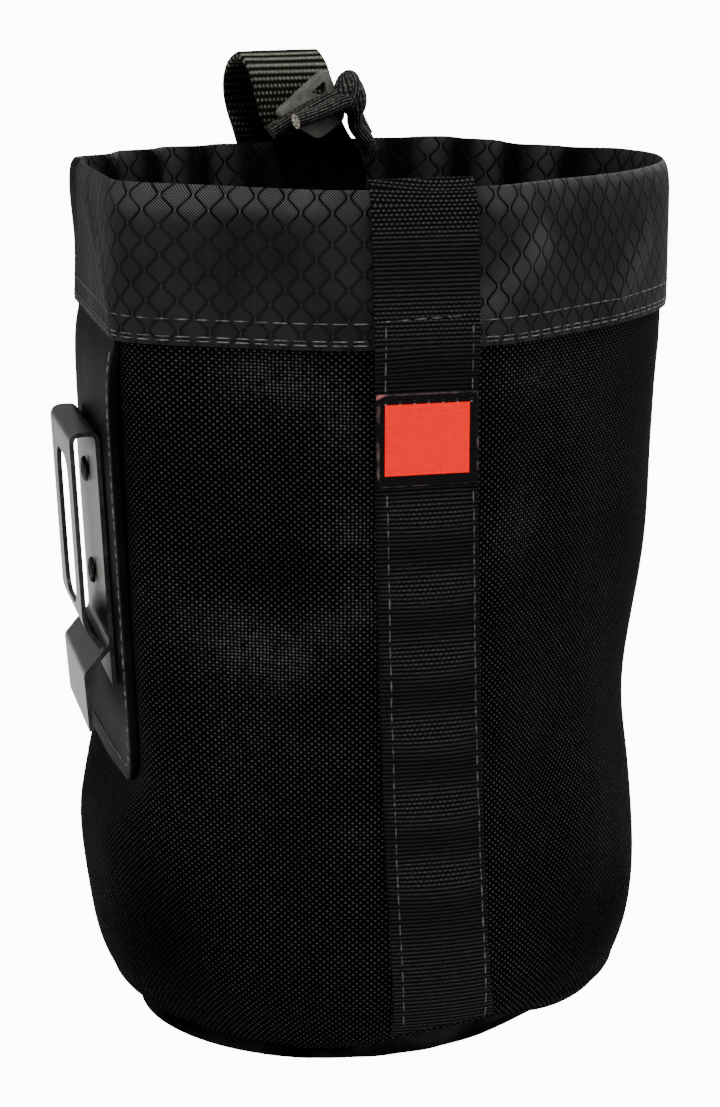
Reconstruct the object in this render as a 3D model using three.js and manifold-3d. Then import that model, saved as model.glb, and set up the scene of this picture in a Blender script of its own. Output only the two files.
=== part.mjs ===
// Round tool bag with a ripstop cuff, a drawcord, a webbing strap and a steel belt clip.
// Millimetres, +Z up, the middle of the base on the floor at the origin.
// The strap is at -Y, the belt clip at -X and the hang loop at +Y.
// Angles run from the strap (-Y) towards +X, in degrees.
import * as THREE from "three";
import { mergeVertices } from "three/addons/utils/BufferGeometryUtils.js";
import Module from "manifold-3d";

// Driving dimensions
const RIM_HEIGHT = 224;
const HEM_HEIGHT = 186;
const INNER_HEM_HEIGHT = 188;
const WALL_TOP = 196;
const WALL_FOOT = 3;
const GAP = 0.3;
const WALL = 2;
const PLY = 1.3;
const BASE = { flat: 52, x: -9, y: -10 };
const BASE_CLOTH = 2.4;
const BASE_EDGE_ROW = 8;
const CREASE = 3;
const SIDE_BULGES = [
  { y: 2, height: 66, spread: 26, reach: 11, depth: 3 },
  { y: 48, height: 86, spread: 13, reach: 12, depth: 4.8 },
  { y: 47, height: 83.5, spread: 13, reach: 8, depth: 2.6 },
];
const WEBBING_WIDTH = 25.4;
const WEBBING = 1.5;
const LABEL = { bottom: 152.9, top: 175.5, width: 25, thickness: 0.8 };
const PANEL = { bottom: 69, top: 194, near: -46, nearFoot: -41, far: 48, corner: 11, thickness: 2, skived: 0.8 };
const SKIVE = { from: 180, to: 184.5 };
const CLIP = { width: 46, middle: 1, plate: 1.2, belt: 5.4, top: 159.3, tip: 102.6, bend: 109.4, fold: 2.4 };
const CLIP_LIP = { bottom: 80.5, shoulder: 95.6, root: 102.6, reach: 7.9, bottomReach: 7.4 };
const CLIP_SLOT = { width: 26, bottom: 111.4, top: 151, corner: 8 };
const CLIP_BEND = 2.2;
const CLIP_FOOT = { bottom: 92.5, top: 105 };
const RIVET = { upper: 145.5, lower: 118.2, head: 3.5, rise: 1.3, shank: 1.6, clearance: 0.3 };
const LOOP = { outsideX: -6.2, insideX: 5 };
const CORD_RADIUS = 2.2;
const LOCK = { x: 2.4, y: 70.7, z: 232.4, thickness: 4, tilt: 40, turn: 12, corner: 2.4 };

// Upright shape of the wall: mean radius, share of the mouth's uneven outline, and lean along Y
const PROFILE = [
  { height: 0, radius: 60.2, outline: 0, lean: -2 },
  { height: 3, radius: 63.8, outline: 0, lean: -2 },
  { height: 6, radius: 66.8, outline: 0, lean: -1.9 },
  { height: 10, radius: 69.9, outline: 0, lean: -1.8 },
  { height: 14, radius: 72.0, outline: 0, lean: -1.6 },
  { height: 20, radius: 74.1, outline: 0.02, lean: -1.4 },
  { height: 28, radius: 75.5, outline: 0.06, lean: -1.1 },
  { height: 38, radius: 76.1, outline: 0.14, lean: -0.7 },
  { height: 60, radius: 76.0, outline: 0.42, lean: -0.2 },
  { height: 84, radius: 75.6, outline: 0.68, lean: 0 },
  { height: 104, radius: 75.8, outline: 0.72, lean: 0 },
  { height: 124, radius: 76.6, outline: 0.74, lean: 0 },
  { height: 150, radius: 77.6, outline: 0.77, lean: 0 },
  { height: 186, radius: 78.0, outline: 0.8, lean: 0 },
  { height: 224, radius: 78.5, outline: 1, lean: 0 },
];

// Outline of the slack mouth: how far it stands out from the mean radius
const MOUTH = [
  { angle: -165, push: -4 },
  { angle: -150, push: -3 },
  { angle: -135, push: -2 },
  { angle: -120, push: 0 },
  { angle: -105, push: 4.4 },
  { angle: -90, push: 7.5 },
  { angle: -75, push: 10 },
  { angle: -60, push: 10.5 },
  { angle: -48, push: 8 },
  { angle: -38, push: 3 },
  { angle: -27, push: 1.5 },
  { angle: -14, push: 2.5 },
  { angle: 0, push: -1 },
  { angle: 14, push: -1 },
  { angle: 30, push: -7.5 },
  { angle: 46, push: -8.5 },
  { angle: 64, push: -4.6 },
  { angle: 82, push: 3 },
  { angle: 98, push: 6.7 },
  { angle: 110, push: 5.6 },
  { angle: 124, push: 0 },
  { angle: 138, push: 1.5 },
  { angle: 152, push: 5 },
  { angle: 166, push: 4 },
  { angle: 180, push: 0.5 },
];

// How far the flat side that carries the clip stands from the axis
const FLAT_SIDE = [
  { height: 0, reach: 92 },
  { height: 38, reach: 82 },
  { height: 52, reach: 77 },
  { height: 62, reach: 70.6 },
  { height: 69, reach: 65.3 },
  { height: 170, reach: 70.4 },
  { height: 196, reach: 69.1 },
  { height: 224, reach: 72.4 },
];

// Soft dents and folds in the wall
const DENTS = [
  { angle: 80, height: 86, spread: 40, reach: 25, depth: 5.4 },
  { angle: 80, height: 50, spread: 34, reach: 14, depth: 1.2 },
  { angle: 64, height: 14, spread: 34, reach: 20, depth: 1.3 },
  { angle: -95, height: 30, spread: 36, reach: 16, depth: 1.2 },
  { angle: -27, height: 126, spread: 12, reach: 20, depth: 1.6 },
  { angle: 30, height: 96, spread: 12, reach: 26, depth: 1.8 },
  { angle: 46, height: 34, spread: 16, reach: 14, depth: 1.6 },
  { angle: -34, height: 44, spread: 18, reach: 12, depth: 1.4 },
  { angle: 150, height: 110, spread: 24, reach: 40, depth: 2.2 },
];

// Lower edge of the wall, which rides up beside the strap
const WALL_EDGE = [
  { angle: -110, height: 4 },
  { angle: -76, height: 4.6 },
  { angle: -58, height: 3.6 },
  { angle: -40, height: 3 },
  { angle: -20, height: 3.2 },
  { angle: -12, height: 5 },
  { angle: -5, height: 8.4 },
  { angle: 8, height: 11 },
  { angle: 19, height: 12 },
  { angle: 27, height: 10 },
  { angle: 37, height: 8.4 },
  { angle: 52, height: 7.4 },
  { angle: 80, height: 6.4 },
  { angle: 115, height: 4 },
  { angle: 150, height: 3.6 },
];

// Heights of the wall's level rows, which the strap and the panel share
const WALL_ROWS = [WALL_FOOT, 5, 8, 13, 19, 27, 38, 52, 62, 69, 82, 104, 124, 146, 170, WALL_TOP];

// Rise and fall of the rim around the mouth
const RIM_RISE = [
  { angle: -170, rise: 0 },
  { angle: -140, rise: 0 },
  { angle: -112, rise: -0.2 },
  { angle: -80, rise: 0.4 },
  { angle: -52, rise: 0.9 },
  { angle: -20, rise: 0 },
  { angle: 0, rise: 0 },
  { angle: 20, rise: 0.2 },
  { angle: 60, rise: -0.4 },
  { angle: 100, rise: 0.4 },
  { angle: 130, rise: 0.1 },
  { angle: 150, rise: 1 },
  { angle: 166, rise: 0.3 },
];

// Gathers that the drawcord pulls into the cuff
const GATHERS = [
  { angle: 149, half: 16, waves: 4, depth: 1.1 },
  { angle: 122, half: 10, waves: 1.5, depth: 0.6 },
  { angle: -160, half: 13, waves: 2.5, depth: 0.6 },
  { angle: -50, half: 9, waves: 1.5, depth: 0.7 },
  { angle: -26, half: 10, waves: 1.5, depth: 0.4 },
];

// Upright section of the cuff, as distances out from the wall's outer face
const CUFF_OUTSIDE = [
  { height: WALL_TOP, out: GAP + PLY },
  { height: 206, out: 1.2 },
  { height: 218, out: 1 },
  { height: 222.6, out: 0.1 },
];
const CUFF_RIM = { height: RIM_HEIGHT, out: -1.3 };
const CUFF_INSIDE = [
  { height: 222.6, out: -2.7 },
  { height: 218, out: -3.4 },
  { height: 206, out: -3.1 },
  { height: WALL_TOP, out: -WALL - GAP - PLY },
];

// Middle line of the front strap
const STRAP_LINE = [
  { height: 13, x: 5.6 },
  { height: 48, x: 3.4 },
  { height: 100, x: 1.6 },
  { height: 150, x: 0.1 },
  { height: 187, x: -0.4 },
  { height: 224, x: -1.3 },
];
const STRAP_FOOT_ROW = 5;
const STRAP_STEP = { from: 180, to: 185.6 };
const STRAP_END_INSIDE = 191;

// Free part of the hang loop, as distances out from the wall's outer face
const LOOP_ARCH = [
  { out: 5, height: 227, x: -6.4 },
  { out: 9.4, height: 234, x: -7 },
  { out: 10, height: 240.6, x: -7.6 },
  { out: 7.4, height: 245.8, x: -7.6 },
  { out: 3, height: 247.6, x: -7.4 },
  { out: 0, height: 245.4, x: -6 },
  { out: -1.2, height: 239.6, x: -4.6 },
  { out: -2.1, height: 232, x: -3.4 },
  { out: -2.8, height: 226, x: -1 },
];
const LOOP_FOOT = 189;
const LOOP_END_INSIDE = 193;

// Spacing of the upright columns around the bag, closer where there are corners and gathers
const COLUMNS = [
  { from: -180, to: -112, steps: 17 },
  { from: -112, to: -72, steps: 5 },
  { from: -72, to: -30, steps: 11 },
  { from: -30, to: 108, steps: 23 },
  { from: 108, to: 180, steps: 21 },
];

// Routes of the two ends of the drawcord, from the rim to the cut tips
const CORD_END_A = [
  { x: 19, y: 74.6, z: 220.4 },
  { x: 17.4, y: 72.4, z: 224 },
  { x: 13.6, y: 70, z: 228.6 },
  { x: 12.4, y: 66.8, z: 234.6 },
  { x: 8.8, y: 63, z: 235.6 },
  { x: 2, y: 60.2, z: 233.2 },
  { x: -6.2, y: 57.2, z: 230.8 },
];
const CORD_END_B = [
  { x: 18.2, y: 78.3, z: 225.5 },
  { x: 16, y: 76, z: 228.8 },
  { x: 13.4, y: 71.6, z: 233.2 },
  { x: 11.2, y: 67.4, z: 237.8 },
  { x: 6.6, y: 65.8, z: 237.2 },
  { x: -3, y: 64.4, z: 232.6 },
  { x: -12.4, y: 62.9, z: 227.4 },
];
const KNOT = { x: 11.4, y: 66.2, z: 237.4, long: 6.6, wide: 4.4, tilt: -18 };

// Outline of the cord lock and of its eye, along and across its slope
const LOCK_OUTLINE = [
  { along: -5.2, across: -5.8 },
  { along: 5.4, across: -6.8 },
  { along: 10, across: 7.8 },
  { along: -10, across: 8.2 },
];
const LOCK_EYE = [
  { along: 1.6, across: 5.9 },
  { along: 7, across: 5.8 },
  { along: 5.2, across: 1.8 },
];

const wasm = await Module();
wasm.setup();

function radians(angle) {
  return THREE.MathUtils.degToRad(angle);
}

function along(rows, key, column) {
  const curve = new THREE.CubicInterpolant(rows.map((row) => row[key]), rows.map((row) => row[column]), 1);
  return (value) => curve.evaluate(value)[0];
}

function straightAlong(rows, key, column) {
  const curve = new THREE.LinearInterpolant(rows.map((row) => row[key]), rows.map((row) => row[column]), 1);
  return (value) => curve.evaluate(value)[0];
}

function around(rows, column) {
  const turns = [-360, 0, 360].flatMap((turn) => rows.map((row) => ({ ...row, angle: row.angle + turn })));
  return along(turns, "angle", column);
}

const meanRadius = along(PROFILE, "height", "radius");
const outlineShare = along(PROFILE, "height", "outline");
const footLean = along(PROFILE, "height", "lean");
const mouthPush = around(MOUTH, "push");
const flatReach = straightAlong(FLAT_SIDE, "height", "reach");
const wallEdge = around(WALL_EDGE, "height");
const rimRise = around(RIM_RISE, "rise");
const strapLine = along(STRAP_LINE, "height", "x");

function angleBetween(first, second) {
  return THREE.MathUtils.euclideanModulo(first - second + 180, 360) - 180;
}

function dentDepth(angle, height) {
  let depth = 0;
  for (const dent of DENTS) {
    const across = angleBetween(angle, dent.angle) / dent.spread;
    const up = (height - dent.height) / dent.reach;
    depth += dent.depth * Math.exp(-across * across - up * up);
  }
  return depth;
}

function pressFlat(x, height) {
  const reach = flatReach(height);
  const over = -x - reach;
  if (over <= -CREASE) {
    return x;
  }
  if (over >= CREASE) {
    return -reach;
  }
  return -reach + (CREASE - over) ** 2 / (4 * CREASE);
}

// Swelling of the wall under the flat side
function sideBulge(y, height) {
  let swelling = 0;
  for (const bulge of SIDE_BULGES) {
    const across = (y - bulge.y) / bulge.spread;
    const up = (height - bulge.height) / bulge.reach;
    swelling += bulge.depth * Math.exp(-across * across - up * up);
  }
  return swelling;
}

// Point on the wall's outer face
function wallPoint(angle, height) {
  const slack = outlineShare(height) * mouthPush(angle);
  const radius = meanRadius(height) + slack - dentDepth(angle, height);
  const x = radius * Math.sin(radians(angle));
  const y = footLean(height) - radius * Math.cos(radians(angle));
  const bulge = x < 0 ? sideBulge(y, height) : 0;
  return new THREE.Vector3(pressFlat(x, height) - bulge, y, height);
}

// Point at a level distance out from the wall's outer face
function skin(angle, height, out) {
  const before = wallPoint(angle - 0.6, height);
  const after = wallPoint(angle + 0.6, height);
  const outward = new THREE.Vector3(after.y - before.y, before.x - after.x, 0).normalize();
  return wallPoint(angle, height).addScaledVector(outward, out);
}

function gatherDepth(angle) {
  let depth = 0;
  for (const gather of GATHERS) {
    const across = angleBetween(angle, gather.angle) / gather.half;
    if (Math.abs(across) < 1) {
      depth += gather.depth * (1 - across * across) * Math.cos(Math.PI * gather.waves * across);
    }
  }
  return depth;
}

// Point on the cuff or on what lies over it: gathered and raised more towards the rim
function cuffPoint(angle, height, out) {
  const share = THREE.MathUtils.clamp((height - HEM_HEIGHT) / (RIM_HEIGHT - HEM_HEIGHT), 0, 1);
  const point = skin(angle, height, out + gatherDepth(angle) * share);
  point.z += rimRise(angle) * share;
  return point;
}

function meshSolid(points, triangles) {
  let volume = 0;
  for (const [a, b, c] of triangles) {
    volume += points[a].dot(points[b].clone().cross(points[c]));
  }
  const facing = volume > 0 ? triangles : triangles.map(([a, b, c]) => [a, c, b]);
  const geometry = new THREE.BufferGeometry();
  geometry.setAttribute("position", new THREE.Float32BufferAttribute(points.flatMap((p) => p.toArray()), 3));
  geometry.setIndex(facing.flat());
  geometry.computeVertexNormals();
  return geometry;
}

// Closed rings joined one to the next and the last back to the first
function hoop(rings) {
  const count = rings[0].length;
  const triangles = [];
  rings.forEach((ring, row) => {
    const next = (row + 1) % rings.length;
    for (let column = 0; column < count; column += 1) {
      const beside = (column + 1) % count;
      const a = row * count + column;
      const b = row * count + beside;
      const c = next * count + beside;
      const d = next * count + column;
      triangles.push([a, b, c], [a, c, d]);
    }
  });
  return meshSolid(rings.flat(), triangles);
}

// Closed rings joined one to the next, with a fan closing the first and the last
function bowl(rings, firstMiddle, lastMiddle) {
  const count = rings[0].length;
  const points = [...rings.flat(), firstMiddle, lastMiddle];
  const triangles = [];
  for (let column = 0; column < count; column += 1) {
    const beside = (column + 1) % count;
    for (let row = 0; row + 1 < rings.length; row += 1) {
      const a = row * count + column;
      const b = row * count + beside;
      triangles.push([a, b, b + count], [a, b + count, a + count]);
    }
    const end = (rings.length - 1) * count;
    triangles.push([points.length - 2, beside, column]);
    triangles.push([points.length - 1, end + column, end + beside]);
  }
  return meshSolid(points, triangles);
}

// Sheet with an under face and an over face, each a grid of columns and rows
function sheet(under, over) {
  const columns = under.length;
  const rows = under[0].length;
  const points = [...under.flat(), ...over.flat()];
  const at = (face, column, row) => face * columns * rows + column * rows + row;
  const triangles = [];
  const quad = (a, b, c, d) => triangles.push([a, b, c], [a, c, d]);
  for (let column = 0; column + 1 < columns; column += 1) {
    for (let row = 0; row + 1 < rows; row += 1) {
      quad(at(0, column, row), at(0, column, row + 1), at(0, column + 1, row + 1), at(0, column + 1, row));
      quad(at(1, column, row), at(1, column + 1, row), at(1, column + 1, row + 1), at(1, column, row + 1));
    }
    quad(at(0, column, 0), at(0, column + 1, 0), at(1, column + 1, 0), at(1, column, 0));
    const last = rows - 1;
    quad(at(0, column, last), at(1, column, last), at(1, column + 1, last), at(0, column + 1, last));
  }
  for (let row = 0; row + 1 < rows; row += 1) {
    quad(at(0, 0, row), at(1, 0, row), at(1, 0, row + 1), at(0, 0, row + 1));
    const last = columns - 1;
    quad(at(0, last, row), at(0, last, row + 1), at(1, last, row + 1), at(1, last, row));
  }
  return meshSolid(points, triangles);
}

function evenly(from, to, steps) {
  return Array.from({ length: steps + 1 }, (unused, step) => from + ((to - from) * step) / steps);
}

// Path moved sideways by a distance, keeping to the mitre at each corner
function besidePath(path, distance) {
  return path.map((point, index) => {
    const before = path[Math.max(index - 1, 0)];
    const after = path[Math.min(index + 1, path.length - 1)];
    const first = (index > 0 ? point.clone().sub(before) : after.clone().sub(point)).normalize();
    const second = (index + 1 < path.length ? after.clone().sub(point) : first.clone()).normalize();
    const side = new THREE.Vector2(first.y + second.y, -first.x - second.x).normalize();
    const mitre = Math.max(side.x * first.y - side.y * first.x, 0.6);
    return point.clone().addScaledVector(side, distance / mitre);
  });
}

// Closed outline through corners, each one rounded off
function roundedOutline(outline, rows, corner) {
  const points = rows.map((row) => new THREE.Vector2(row.along, row.across));
  points.forEach((point, index) => {
    const before = points.at(index - 1).clone().sub(point).setLength(corner).add(point);
    const after = points[(index + 1) % points.length].clone().sub(point).setLength(corner).add(point);
    if (index === 0) {
      outline.moveTo(before.x, before.y);
    } else {
      outline.lineTo(before.x, before.y);
    }
    outline.quadraticCurveTo(point.x, point.y, after.x, after.y);
  });
  return outline;
}

function toSolid(geometry) {
  const bare = geometry.clone();
  for (const name of Object.keys(bare.attributes)) {
    if (name !== "position") {
      bare.deleteAttribute(name);
    }
  }
  const merged = mergeVertices(bare, 1e-4);
  const mesh = new wasm.Mesh({
    numProp: 3,
    vertProperties: new Float32Array(merged.attributes.position.array),
    triVerts: new Uint32Array(merged.index.array),
  });
  return new wasm.Manifold(mesh);
}

function toGeometry(solid) {
  const mesh = solid.getMesh();
  const geometry = new THREE.BufferGeometry();
  geometry.setAttribute("position", new THREE.Float32BufferAttribute(mesh.vertProperties, 3));
  geometry.setIndex([...mesh.triVerts]);
  geometry.computeVertexNormals();
  return geometry;
}

const bag = new THREE.Group();
bag.name = "tool_bag";

function addPiece(name, geometry, color, roughness, metalness) {
  const material = new THREE.MeshStandardMaterial({ color, roughness, metalness, flatShading: true });
  const mesh = new THREE.Mesh(geometry, material);
  mesh.name = name;
  bag.add(mesh);
}

const columnAngles = COLUMNS.flatMap((span) => evenly(span.from, span.to, span.steps).slice(0, -1));

// Wall: one cloth tube, its foot turned in over the base
function rowHeight(angle, row) {
  return row + (wallEdge(angle) - WALL_FOOT) * (1 - THREE.MathUtils.smoothstep(row, WALL_FOOT, 28));
}
function wallRing(row, out) {
  return columnAngles.map((angle) => skin(angle, rowHeight(angle, row), out));
}
const wallRings = [
  ...WALL_ROWS.map((row) => wallRing(row, 0)),
  ...WALL_ROWS.filter((row, index) => index % 2 === 0 || row === WALL_TOP)
    .toReversed()
    .map((row) => wallRing(row, -WALL)),
];
addPiece("body_wall", hoop(wallRings), 0x111112, 0.72, 0);

// Base: a shallow pan whose edge stands up inside the wall
const baseAngles = evenly(-180, 180, 48).slice(0, -1);
function baseRing(radius, height) {
  return baseAngles.map((angle) => {
    const turn = radians(angle);
    return new THREE.Vector3(BASE.x + radius * Math.sin(turn), BASE.y - radius * Math.cos(turn), height);
  });
}
function baseEdgeRing(row, out) {
  return baseAngles.map((angle) => skin(angle, rowHeight(angle, row), out));
}
const baseOut = -WALL - 2 * GAP;
const baseRings = [
  baseRing(BASE.flat, 0),
  baseRing(BASE.flat + 1.4, 0.6),
  baseEdgeRing(WALL_FOOT, baseOut),
  baseEdgeRing(BASE_EDGE_ROW, baseOut),
  baseEdgeRing(BASE_EDGE_ROW, baseOut - BASE_CLOTH),
  baseRing(BASE.flat - 1, BASE_CLOTH + 0.8),
  baseRing(BASE.flat - 5, BASE_CLOTH),
];
const baseMiddle = new THREE.Vector3(BASE.x, BASE.y, 0);
const baseInside = new THREE.Vector3(BASE.x, BASE.y, BASE_CLOTH);
addPiece("base_panel", bowl(baseRings, baseMiddle, baseInside), 0x0c0c0d, 0.8, 0);

// Cuff: ripstop folded over the rim, with the wall's top edge held between its plies
function panelLift(angle, height) {
  const point = wallPoint(angle, height);
  const beyond = Math.max(PANEL.near - point.y, point.y - PANEL.far);
  const share = point.x < 0 ? 1 - THREE.MathUtils.smoothstep(beyond, 0.4, 7) : 0;
  const high = 1 - THREE.MathUtils.smoothstep(height, WALL_TOP, 212);
  return (PANEL.skived + GAP) * share * high;
}
function cuffRing(height, out, lifted) {
  return columnAngles.map((angle) => cuffPoint(angle, height, out + (lifted ? panelLift(angle, height) : 0)));
}
const cuffRings = [
  cuffRing(WALL_TOP + GAP, GAP, true),
  cuffRing(HEM_HEIGHT, GAP, true),
  cuffRing(HEM_HEIGHT, GAP + PLY, true),
  ...CUFF_OUTSIDE.map((row) => cuffRing(row.height, row.out, true)),
  cuffRing(CUFF_RIM.height, CUFF_RIM.out, false),
  ...CUFF_INSIDE.map((row) => cuffRing(row.height, row.out, false)),
  cuffRing(INNER_HEM_HEIGHT, -WALL - GAP - PLY, false),
  cuffRing(INNER_HEM_HEIGHT, -WALL - GAP, false),
  cuffRing(WALL_TOP + GAP, -WALL - GAP, false),
];
addPiece("cuff", hoop(cuffRings), 0x222326, 0.55, 0);

// Strap, label and loop: bands whose under and over faces follow a path over the rim
function bandFace(path, width, angleAt) {
  return evenly(-0.5, 0.5, 4).map((across) =>
    path.map((point) => {
      const angle = angleAt(across * width, point.y);
      return cuffPoint(angle, rowHeight(angle, point.y), point.x);
    }),
  );
}

function overRim(rows) {
  return rows.map((row) => new THREE.Vector2(row.out, row.height));
}

function strapAngle(across, height) {
  return THREE.MathUtils.radToDeg(Math.asin((strapLine(height) + across) / -wallPoint(0, height).y));
}
const strapPath = overRim([
  ...WALL_ROWS.filter((row) => row >= STRAP_FOOT_ROW && row < STRAP_STEP.from).map((height) => ({ height, out: 0 })),
  { height: STRAP_STEP.from, out: 0 },
  { height: STRAP_STEP.to, out: GAP + PLY },
  ...CUFF_OUTSIDE,
  CUFF_RIM,
  ...CUFF_INSIDE,
  { height: STRAP_END_INSIDE, out: -WALL - GAP - PLY },
]);
const strapUnder = bandFace(besidePath(strapPath, GAP), WEBBING_WIDTH, strapAngle);
const strapOver = bandFace(besidePath(strapPath, GAP + WEBBING), WEBBING_WIDTH, strapAngle);
addPiece("front_strap", sheet(strapUnder, strapOver), 0x161617, 0.7, 0);

const labelPath = overRim(evenly(LABEL.bottom, LABEL.top, 3).map((height) => ({ height, out: 0 })));
const labelOut = 2 * GAP + WEBBING;
const labelUnder = bandFace(besidePath(labelPath, labelOut), LABEL.width, strapAngle);
const labelOver = bandFace(besidePath(labelPath, labelOut + LABEL.thickness), LABEL.width, strapAngle);
addPiece("label", sheet(labelUnder, labelOver), 0xe5321f, 0.6, 0);

const loopRows = [
  { height: LOOP_FOOT, out: GAP + PLY, x: LOOP.outsideX },
  ...CUFF_OUTSIDE.slice(0, 3).map((row) => ({ ...row, x: LOOP.outsideX })),
  ...LOOP_ARCH,
  ...CUFF_INSIDE.slice(1).map((row) => ({ ...row, x: LOOP.insideX })),
  { height: LOOP_END_INSIDE, out: -WALL - GAP - PLY, x: LOOP.insideX },
];
function loopFace(distance) {
  const path = besidePath(overRim(loopRows), distance);
  return evenly(-0.5, 0.5, 4).map((across) =>
    path.map((point, row) => {
      const x = loopRows[row].x + across * WEBBING_WIDTH;
      const angle = 180 - THREE.MathUtils.radToDeg(Math.asin(x / wallPoint(180, point.y).y));
      return cuffPoint(angle, point.y, point.x);
    }),
  );
}
addPiece("hang_loop", sheet(loopFace(GAP), loopFace(GAP + WEBBING)), 0x161617, 0.7, 0);

// Side panel: leather-like patch on the flat side, thinned where it goes under the cuff
const panelHoles = [RIVET.lower, RIVET.upper];
function sideAngle(y, height) {
  let low = -158;
  let high = -22;
  for (let pass = 0; pass < 30; pass += 1) {
    const middle = (low + high) / 2;
    if (wallPoint(middle, height).y > y) {
      low = middle;
    } else {
      high = middle;
    }
  }
  return (low + high) / 2;
}
function panelNear(height) {
  return THREE.MathUtils.mapLinear(height, PANEL.bottom, PANEL.top, PANEL.nearFoot, PANEL.near);
}
function panelBottom(inward) {
  const drop = Math.sqrt(PANEL.corner ** 2 - (PANEL.corner - Math.min(inward, PANEL.corner)) ** 2);
  return PANEL.bottom + PANEL.corner - drop;
}
const edgeSteps = [0, 0.6, 2, 4.5, 7.5, 11, 14.5, 18, 22, 26];
const panelColumns = [
  ...edgeSteps.map((step) => ({ inward: step, yAt: (height) => panelNear(height) + step })),
  { inward: PANEL.corner, yAt: () => (PANEL.near + PANEL.far) / 2 },
  ...edgeSteps.toReversed().map((step) => ({ inward: step, yAt: () => PANEL.far - step })),
];
const panelRows = [...WALL_ROWS.filter((row) => row > PANEL.bottom + PANEL.corner && row < SKIVE.from), SKIVE.from];
function panelFace(thickness, thinned) {
  return panelColumns.map(({ inward, yAt }) => {
    const place = (height, out) => skin(sideAngle(yAt(height), height), height, out);
    const full = [panelBottom(inward), ...panelRows].map((height) => place(height, thickness));
    const thin = [SKIVE.to, PANEL.top].map((height) => place(height, thinned));
    return [...full, ...thin];
  });
}
const panelSheet = sheet(panelFace(GAP, GAP), panelFace(GAP + PANEL.thickness, GAP + PANEL.skived));

// Clip frame: first axis out of the flat side, second up it, third along +Y
const flatLow = new THREE.Vector3(-flatReach(90), CLIP.middle, 90);
const flatHigh = new THREE.Vector3(-flatReach(150), CLIP.middle, 150);
const clipUp = flatHigh.clone().sub(flatLow).normalize();
const clipAcross = new THREE.Vector3(0, 1, 0);
const clipOut = clipUp.clone().cross(clipAcross);
const clipOrigin = flatLow.clone().addScaledVector(clipUp, -90 / clipUp.z);
clipOrigin.addScaledVector(clipOut, 2 * GAP + PANEL.thickness);
const clipPlace = new THREE.Matrix4().makeBasis(clipOut, clipUp, clipOut.clone().cross(clipUp));
clipPlace.setPosition(clipOrigin);

// Upright drill through the clip and the panel at a height on the middle line
function rivetHole(height) {
  const hole = new THREE.CylinderGeometry(RIVET.shank + RIVET.clearance, RIVET.shank + RIVET.clearance, 8, 16);
  hole.rotateZ(Math.PI / 2);
  hole.translate(0, height, 0);
  return toSolid(hole.applyMatrix4(clipPlace));
}

let panelSolid = toSolid(panelSheet);
for (const height of panelHoles) {
  panelSolid = panelSolid.subtract(rivetHole(height));
}
addPiece("side_panel", toGeometry(panelSolid), 0x1b1b1d, 0.42, 0);

// Belt clip: one strip bent from the lip, up the back plate, over the fold and down to the tip
const half = CLIP.plate / 2;
const outerReach = CLIP.plate + CLIP.belt + half;
const foldTop = CLIP.top - half;
const clipLine = new THREE.Path();
clipLine.moveTo(CLIP_LIP.bottomReach, CLIP_LIP.bottom);
clipLine.lineTo(CLIP_LIP.reach - 0.1, CLIP_LIP.shoulder - 1);
clipLine.quadraticCurveTo(CLIP_LIP.reach, CLIP_LIP.shoulder, CLIP_LIP.reach - 0.8, CLIP_LIP.shoulder + 0.8);
clipLine.lineTo(half + 1.6, CLIP_LIP.root - 1);
clipLine.quadraticCurveTo(half, CLIP_LIP.root, half, CLIP_LIP.root + CLIP_BEND);
clipLine.lineTo(half, foldTop - CLIP.fold);
clipLine.quadraticCurveTo(half, foldTop, half + CLIP.fold, foldTop);
clipLine.lineTo(outerReach - CLIP.fold, foldTop);
clipLine.quadraticCurveTo(outerReach, foldTop, outerReach, foldTop - CLIP.fold);
clipLine.lineTo(outerReach, CLIP.bend + CLIP_BEND);
clipLine.quadraticCurveTo(outerReach, CLIP.bend, outerReach - 1, CLIP.bend - CLIP_BEND);
clipLine.lineTo(CLIP.plate + half + 1.6, CLIP.tip);
const clipMiddle = clipLine.getPoints(6).filter((point, index, all) => !index || point.distanceTo(all[index - 1]) > 0.01);
const clipOuterSide = besidePath(clipMiddle, half);
const clipInnerSide = besidePath(clipMiddle, -half);
const clipShape = new THREE.Shape([...clipOuterSide, ...clipInnerSide.toReversed()]);
const clipStrip = new THREE.ExtrudeGeometry(clipShape, { depth: CLIP.width, bevelEnabled: false, curveSegments: 1 });
clipStrip.translate(0, 0, -CLIP.width / 2);
clipStrip.applyMatrix4(clipPlace);

const slotHalf = CLIP_SLOT.width / 2;
const slotCorners = [
  { along: -slotHalf, across: CLIP_SLOT.bottom },
  { along: slotHalf, across: CLIP_SLOT.bottom },
  { along: slotHalf, across: CLIP_SLOT.top },
  { along: -slotHalf, across: CLIP_SLOT.top },
];
const slotShape = roundedOutline(new THREE.Shape(), slotCorners, CLIP_SLOT.corner);
const slotCut = new THREE.ExtrudeGeometry(slotShape, { depth: 6, bevelEnabled: false, curveSegments: 6 });
slotCut.rotateY(Math.PI / 2);
slotCut.translate(outerReach - 3, 0, 0);
slotCut.applyMatrix4(clipPlace);

const clipFoot = new THREE.BoxGeometry(CLIP.plate, CLIP_FOOT.top - CLIP_FOOT.bottom, CLIP.width);
clipFoot.translate(half, (CLIP_FOOT.top + CLIP_FOOT.bottom) / 2, 0);
clipFoot.applyMatrix4(clipPlace);

let clipSolid = toSolid(clipStrip).add(toSolid(clipFoot)).subtract(toSolid(slotCut));
for (const height of panelHoles) {
  clipSolid = clipSolid.subtract(rivetHole(height));
}
addPiece("belt_clip", toGeometry(clipSolid), 0x6b6862, 0.38, 0.9);

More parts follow.
